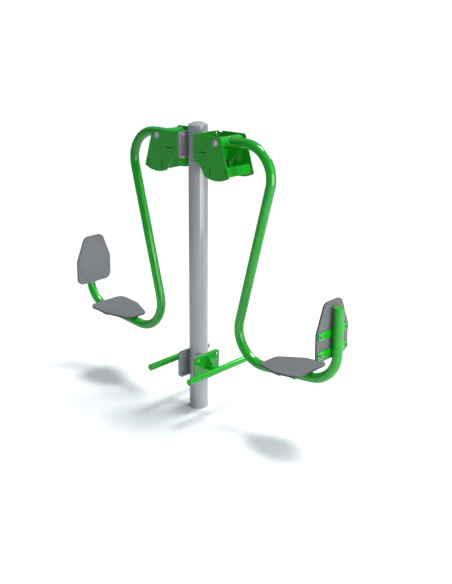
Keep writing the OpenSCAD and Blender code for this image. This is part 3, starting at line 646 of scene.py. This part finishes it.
def make_flange_fasteners():
    """Bolts with a washer under head and nut, through each plate and flange."""
    heads, rings, nuts = bmesh.new(), bmesh.new(), bmesh.new()
    for side, y, z in flange_bolt_places():
        out, back = (side, 0, 0), (-side, 0, 0)
        head = frame_at((side * (PLATE_X + WASHER_T), y, z), out)
        bolt_head(heads, head, HEAD_R, HEAD_H, BOLT_R, SOCKET_R, SOCKET_DEPTH)
        flat_ring(rings, frame_at((side * PLATE_X, y, z), out), WASHER_R, HOLE_R, WASHER_T)
        flat_ring(rings, frame_at((side * FLANGE_X, y, z), back), WASHER_R, HOLE_R, WASHER_T)
        cap_nut(nuts, frame_at((side * (FLANGE_X - WASHER_T), y, z), back))
    for bm, node in ((heads, "flange_bolts"), (rings, "flange_washers"), (nuts, "flange_nuts")):
        piece = new_piece(node + "_shape", finish_mesh(bm, node), "frame", "fastener_steel")
        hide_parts(node)


def make_pivot_fasteners():
    """A bolt and a large washer on each end of both axles."""
    heads, rings = bmesh.new(), bmesh.new()
    for side in (-1, 1):
        for sign in (-1, 1):
            face = Vector((side * PIVOT.x, sign * (SIDE_FACE + SIDE_T), PIVOT.z))
            out = Vector((0, sign, 0))
            flat_ring(rings, frame_at(face, out), BIG_WASHER_R, HOLE_R, BIG_WASHER_T)
            head = frame_at(face + BIG_WASHER_T * out, out)
            bolt_head(heads, head, HEAD_R, HEAD_H, BOLT_R, SOCKET_R, SOCKET_DEPTH)
    bolts = new_piece("axle_bolts_shape", finish_mesh(heads, "axle_bolts"), "frame", "fastener_steel")
    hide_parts("axle_bolts")
    ring_mesh = finish_mesh(rings, "axle_washers")
    washers = new_piece("axle_washers_shape", ring_mesh, "frame", "fastener_steel", [WASHER_ZINC])
    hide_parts("axle_washers")


def board_frames(side):
    """Matrices of the seat's and the backrest's board: local X to the tip, local Z out of the face."""
    seat_dir = Vector((math.cos(SEAT_SLOPE), 0, math.sin(SEAT_SLOPE)))
    seat_up = Vector((-math.sin(SEAT_SLOPE), 0, math.cos(SEAT_SLOPE)))
    knee = Vector((LEG_TOP_X - (PIVOT.z - KNEE_Z) * math.tan(LEG_LEAN), 0, KNEE_Z))
    heel = knee + seat_dir * ((BACK_X - knee.x) / seat_dir.x)
    stack = ARM_R + BAR_T + BOARD_T
    seat_edge = heel - SEAT_EDGE_FROM_HEEL * seat_dir + stack * seat_up
    back_edge = Vector((BACK_X - stack, 0, BACK_EDGE_Z))
    flip = Matrix.Scale(-1, 4, (1, 0, 0)) if side < 0 else Matrix.Identity(4)
    across = Vector((0, 1, 0))
    back_dir, back_up = Vector((0, 0, 1)), Vector((-1, 0, 0))
    for edge, along, up in ((seat_edge, -seat_dir, seat_up), (back_edge, back_dir, back_up)):
        yield flip @ Matrix((
            (along.x, across.x, up.x, edge.x), (along.y, across.y, up.y, edge.y),
            (along.z, across.z, up.z, edge.z), (0, 0, 0, 1),
        ))


def make_board_screws():
    """Screws from the face of each board through its bars, with washer and nut behind."""
    for side, word in SIDES:
        bm = bmesh.new()
        for matrix in board_frames(side):
            for x in BAR_PLACES:
                for y in (-SCREW_Y, SCREW_Y):
                    top = matrix @ Matrix.Translation((x, y, 0))
                    bolt_head(
                        bm, top, SCREW_HEAD_R, SCREW_HEAD_H, SCREW_R, SCREW_SOCKET_R, SCREW_SOCKET_DEPTH
                    )
                    below = matrix @ Matrix.Translation((x, y, -BOARD_T - BAR_T))
                    under = below @ Matrix.Rotation(math.pi, 4, "X")
                    flat_ring(bm, under, SCREW_HEAD_R, SCREW_HOLE_R, WASHER_T)
                    seat = under @ Matrix.Translation((0, 0, WASHER_T))
                    hex_nut(bm, seat, SCREW_NUT_R, SCREW_NUT_H, SCREW_R, SCREW_TIP)
        node = word + "_board_screws"
        mesh = finish_mesh(bm, node)
        piece = new_piece(node + "_shape", mesh, word + "_arm", "fastener_steel", [SCREW_STEEL])
        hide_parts(node)


# Weld beads


def resampled(points, closed, step):
    """Points at even steps along a path."""
    pts = [Vector(p) for p in points]
    if closed:
        pts.append(pts[0])
    lengths = [(b - a).length for a, b in zip(pts, pts[1:])]
    total = sum(lengths)
    count = max(4, round(total / step))
    made, i, start = [], 0, 0.0
    for k in range(count if closed else count + 1):
        at = total * k / count
        while i < len(lengths) - 1 and at > start + lengths[i]:
            start += lengths[i]
            i += 1
        made.append(pts[i].lerp(pts[i + 1], min(1.0, (at - start) / lengths[i])))
    return made


def bead(bm, points, radius, closed=False):
    """Rippled weld bead along a path, with tapered ends where it is open."""
    path = resampled(points, closed, BEAD_RIPPLE / BEAD_RINGS_PER_RIPPLE)
    n = len(path)
    rings, side = [], None
    for i, p in enumerate(path):
        before = path[i - 1 if i or closed else 0]
        after = path[(i + 1) % n if closed else min(i + 1, n - 1)]
        along = (after - before).normalized()
        if side is None:
            side = along.orthogonal().normalized()
        side = (side - along * side.dot(along)).normalized()
        other = along.cross(side)
        phase = (i % BEAD_RINGS_PER_RIPPLE) / BEAD_RINGS_PER_RIPPLE
        r = radius * (1 - BEAD_RISE_SHARE + BEAD_RISE_SHARE * math.sin(math.pi * phase) * 2)
        if not closed:
            from_end = min(i, n - 1 - i) / BEAD_RINGS_PER_RIPPLE
            r *= min(1.0, BEAD_TIP_SHARE + (1 - BEAD_TIP_SHARE) * from_end)
        rings.append([p + r * (math.cos(a) * side + math.sin(a) * other) for a in turns(BEAD_SIDES)])
    skin(bm, rings, closed)


def mirrored(points, side):
    """Points of the right-hand unit, or of the left-hand one where side is -1."""
    return [(side * p[0], p[1], p[2]) for p in points]


def ring_points(centre, axis, radius, count=BEAD_POINTS):
    """Points on a circle round an axis."""
    matrix = frame_at(centre, axis)
    return [matrix @ Vector((radius * math.cos(a), radius * math.sin(a), 0)) for a in turns(count)]


def make_post_welds():
    """Seams that join the grey flanges to the post, and the cap's seam."""
    bm = bmesh.new()
    reach = math.sqrt(POST_R ** 2 - FLANGE_X ** 2)
    side_x = FLANGE_X - 0.001
    side_y = reach + 0.0016
    end_gap = 0.002
    for low, high in (UPPER_FLANGE_Z, LOWER_FLANGE_Z):
        arc = [
            (math.sqrt(POST_R ** 2 - y * y) + SEAM_LIFT, y)
            for y in (reach * (2 * i / FLANGE_ARC_STEPS - 1) for i in range(FLANGE_ARC_STEPS + 1))
        ]
        loop = [(side_x, -side_y, low + end_gap), (side_x, -side_y, high - end_gap)]
        loop += [(x, y, high) for x, y in arc]
        loop += [(side_x, side_y, high - end_gap), (side_x, side_y, low + end_gap)]
        loop += [(x, y, low) for x, y in reversed(arc)]
        for side in (-1, 1):
            bead(bm, mirrored(loop, side), FLANGE_SEAM, closed=True)
    new_piece("flange_welds", finish_mesh(bm, "flange_welds"), "frame", "flange_coat")
    bm = bmesh.new()
    rim = ring_points((0, 0, POST_TOP), (0, 0, 1), POST_R - CORNER_LIFT, FINE_BEAD_POINTS)
    bead(bm, rim, CAP_SEAM, closed=True)
    new_piece("cap_weld", finish_mesh(bm, "cap_weld"), "frame", "post_coat")


def make_housing_welds():
    """Seams of the side plates, the end wall and the stop bracket in each housing."""
    bm = bmesh.new()
    wall_down = Vector((math.sin(WALL_LEAN), 0, -math.cos(WALL_LEAN)))
    wall_top = Vector((WALL_OUTER_X, 0, WALL_TOP))
    end_gap = 0.004
    start = wall_top + end_gap * wall_down
    foot = wall_top + (WALL_H - end_gap) * wall_down
    plate_x = PLATE_X + CORNER_LIFT
    low, high = HOUSING_SEAM_Z
    for side in (-1, 1):
        for sign in (-1, 1):
            y = sign * (SIDE_FACE - CORNER_LIFT)
            bead(bm, mirrored([(plate_x, y, low), (plate_x, y, high)], side), PLATE_SEAM)
            bead(bm, mirrored([(start.x, y, start.z), (foot.x, y, foot.z)], side), WALL_SEAM)
        across = [(plate_x, y, BRACKET_TOP + CORNER_LIFT) for y in (-BRACKET_SEAM_Y, BRACKET_SEAM_Y)]
        bead(bm, mirrored(across, side), PLATE_SEAM)
    new_piece("housing_welds", finish_mesh(bm, "housing_welds"), "frame", "green_coat")


def make_foot_welds():
    """Seams of the foot bars: at the plates, at the stubs, along the gussets and round the end discs."""
    bm = bmesh.new()
    saddle = []
    for a in turns(BEAD_POINTS):
        y, z = STUB_R * math.sin(a), STUB_R * math.cos(a)
        saddle.append((FOOT_BAR_X - math.sqrt(FOOT_BAR_R ** 2 - z * z), y, FOOT_BAR_Z + z))
    root_z = FOOT_BAR_Z + math.sqrt(STUB_R ** 2 - GUSSET_HALF ** 2)
    plate_x = PLATE_X + FLUSH_LIFT
    end_gap = 0.003
    for side in (-1, 1):
        ring = ring_points((plate_x, 0, FOOT_BAR_Z), (1, 0, 0), STUB_R + SEAM_LIFT)
        bead(bm, mirrored(ring, side), PLATE_SEAM, closed=True)
        bead(bm, mirrored(saddle, side), FOOT_BAR_SEAM, closed=True)
        for sign in (-1, 1):
            y = sign * (GUSSET_HALF + FLUSH_LIFT)
            upright = [(plate_x, y, root_z + end_gap), (plate_x, y, GUSSET_TOP - end_gap)]
            level = [(PLATE_X + end_gap, y, root_z), (GUSSET_OUT - 0.002, y, root_z)]
            bead(bm, mirrored(upright, side), GUSSET_SEAM)
            bead(bm, mirrored(level, side), GUSSET_SEAM)
            disc = (side * FOOT_BAR_X, sign * (FOOT_BAR_HALF - FOOT_DISC_T), FOOT_BAR_Z)
            edge = ring_points(disc, (0, 1, 0), FOOT_BAR_R - SEAM_LIFT)
            bead(bm, edge, FOOT_DISC_SEAM, closed=True)
    new_piece("foot_bar_welds", finish_mesh(bm, "foot_bar_welds"), "frame", "green_coat")


def make_arm_welds():
    """Seams of each arm: at the pivot tube, along the fin, round the end cap and under the bars."""
    fin_z = PIVOT.z - math.sqrt(ARM_R ** 2 - FIN_HALF ** 2)
    end_gap = 0.002
    fin_start_x = PIVOT.x + PIVOT_TUBE_R + 2 * end_gap
    fin_end_x = fin_z - FIN_SLOPE_OFFSET - end_gap
    # The bars' notches sit on the tube: the seam runs just above where their corners meet it
    notch_y = 0.0125
    drop = BOARD_T + BAR_T + ARM_R - math.sqrt(ARM_R ** 2 - notch_y ** 2) * NOTCH_DEPTH_SHARE
    reach = BAR_W / 2 - end_gap
    for side, word in SIDES:
        bm = bmesh.new()
        saddle = []
        for a in turns(FINE_BEAD_POINTS):
            y, z = ARM_R * math.sin(a), ARM_R * math.cos(a)
            saddle.append((PIVOT.x + math.sqrt(PIVOT_TUBE_R ** 2 - z * z) + ARM_LIFT, y, PIVOT.z + z))
        bead(bm, mirrored(saddle, side), ARM_ROOT_SEAM, closed=True)
        for sign in (-1, 1):
            y = sign * (FIN_HALF + SEAM_LIFT)
            bead(bm, mirrored([(fin_start_x, y, fin_z), (fin_end_x, y, fin_z)], side), PLATE_SEAM)
        end = ring_points((BACK_X, 0, ARM_END_Z - ARM_LIFT), (0, 0, 1), ARM_R + SEAM_LIFT)
        bead(bm, mirrored(end, side), ARM_CAP_SEAM, closed=True)
        for matrix in board_frames(side):
            for x in BAR_PLACES:
                for sign in (-1, 1):
                    ends = [(x + e * reach, sign * notch_y, -drop) for e in (-1, 1)]
                    bead(bm, [matrix @ Vector(p) for p in ends], PLATE_SEAM)
        new_piece(word + "_arm_welds", finish_mesh(bm, word + "_arm_welds"), word + "_arm", "green_coat")


# Solids: their materials, their rounded edges and the balls' clearance


def dress_nodes():
    """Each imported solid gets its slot's material."""
    for name, node in NODES.items():
        for slot in node.material_slots:
            slot.material = MATERIALS[SLOT_OF[name]]


def soften_node(node, kind, radius):
    """Rounded stand-in for one node, with its kind's steps and second material: the boards' darker sawn edge,
    or painted shade on the tab ends in the slots.
    """
    softened(
        node, radius, FINE_EDGE_STEPS if kind in FINE_EDGED else EDGE_STEPS,
        edge_material=BOARD_EDGE if kind in BOARDS else None,
        painted_shade_material=SLOT_PAINTED_SHADE if kind in TABBED else None,
    )


def soften_edges():
    """Rounded stand-ins for the plates, boards, tubes and rubber pieces."""
    for _, word in SIDES:
        for kinds, radius in PAIRED_EDGES:
            for kind in kinds:
                soften_node(f"{word}_{kind}", kind, radius)
    for kind, radius in SINGLE_EDGES:
        soften_node(kind, kind, radius)


def clear_balls():
    """The facets of the balls keep clear of the facets of their tracks at every angle."""
    clearance = NODES["bearing_balls"].modifiers.new("facet_clearance", "DISPLACE")
    clearance.mid_level = 0.0
    clearance.strength = -BALL_FACET_GAP


# Camera, floor, lights and air


def make_camera():
    """The photograph's camera, with the lens shifted to its principal point."""
    data = bpy.data.cameras.new("camera")
    data.sensor_width = SENSOR_MM
    data.lens = FOCAL_PIXELS * SENSOR_MM / FRAME_SIZE[1]
    data.shift_x = (FRAME_SIZE[0] / 2 - PRINCIPAL_POINT[0]) / FRAME_SIZE[1]
    data.shift_y = (PRINCIPAL_POINT[1] - FRAME_SIZE[1] / 2) / FRAME_SIZE[1]
    camera = bpy.data.objects.new("camera", data)
    camera.location = CAMERA_PLACE
    level = math.cos(CAMERA_DROP)
    ahead = Vector((-math.sin(CAMERA_TURN) * level, math.cos(CAMERA_TURN) * level, -math.sin(CAMERA_DROP)))
    camera.rotation_mode = "QUATERNION"
    camera.rotation_quaternion = ahead.to_track_quat("-Z", "Y")
    bpy.context.scene.collection.objects.link(camera)
    bpy.context.scene.camera = camera


def make_floor():
    """Wide sheet of pale paper."""
    bm = bmesh.new()
    bmesh.ops.create_circle(bm, cap_ends=True, segments=FLOOR_SIDES, radius=FLOOR_R)
    mesh = bpy.data.meshes.new("floor")
    bm.to_mesh(mesh)
    bm.free()
    floor = bpy.data.objects.new("floor", mesh)
    bpy.context.scene.collection.objects.link(floor)
    g = Graph("floor_paper")
    paper = g.blend(g.noise(PAPER_SCALE, 3.0), *PAPER_TONES)
    # The paper is bright to look at, but throws little light back up, as in a studio cut-out
    seen = g.add("ShaderNodeLightPath").outputs["Is Camera Ray"]
    reach = g.add("ShaderNodeVectorMath", {0: g.place()}, operation="LENGTH").outputs["Value"]
    bounce = g.blend(g.spread(reach, *BOUNCE_EDGES, 0.0, 1.0), NEAR_BOUNCE, FAR_BOUNCE)
    g.set(Base_Color=g.blend(seen, bounce, paper), Roughness=0.9, Specular_IOR_Level=0.1)
    mesh.materials.append(g.material)


def make_light(name, kind, place, target, energy, **settings):
    """A lamp that is aimed at a point and not seen by the camera."""
    data = bpy.data.lights.new(name, kind)
    data.energy = energy
    for key, value in settings.items():
        setattr(data, key, value)
    light = bpy.data.objects.new(name, data)
    light.location = place
    light.rotation_mode = "QUATERNION"
    light.rotation_quaternion = (Vector(target) - Vector(place)).to_track_quat("-Z", "Y")
    light.visible_camera = False
    if name == UNREFLECTED_LIGHT:
        light.visible_glossy = False
    bpy.context.scene.collection.objects.link(light)


def make_lights():
    """The studio lights, in the order of their table."""
    for light in LIGHTS:
        make_light(**light)


def make_world():
    """White to the camera, and a soft grey gradient to everything else."""
    world = bpy.data.worlds.new("studio")
    world.use_nodes = True
    bpy.context.scene.world = world
    tree = world.node_tree
    place = tree.nodes.new("ShaderNodeTexCoord")
    split = tree.nodes.new("ShaderNodeSeparateXYZ")
    ramp = tree.nodes.new("ShaderNodeValToRGB")
    tree.links.new(place.outputs["Generated"], split.inputs[0])
    tree.links.new(split.outputs["Z"], ramp.inputs["Fac"])
    for stop, (height, tone) in zip(ramp.color_ramp.elements, (LOW_AIR, HIGH_AIR)):
        stop.position, stop.color = height, tone
    seen = tree.nodes.new("ShaderNodeLightPath")
    pick = tree.nodes.new("ShaderNodeMix")
    pick.data_type = "RGBA"
    tree.links.new(seen.outputs["Is Camera Ray"], pick.inputs["Factor"])
    tree.links.new(ramp.outputs["Color"], pick.inputs["A"])
    pick.inputs["B"].default_value = colour(1.0, 1.0, 1.0)
    background = tree.nodes["Background"]
    tree.links.new(pick.outputs["Result"], background.inputs["Color"])
    background.inputs["Strength"].default_value = 1.0


make_camera()
make_floor()
make_lights()
make_world()
dress_nodes()
soften_edges()
clear_balls()
make_flange_fasteners()
make_pivot_fasteners()
make_board_screws()
make_post_welds()
make_housing_welds()
make_foot_welds()
make_arm_welds()
bpy.context.scene.view_settings.view_transform = "Standard"
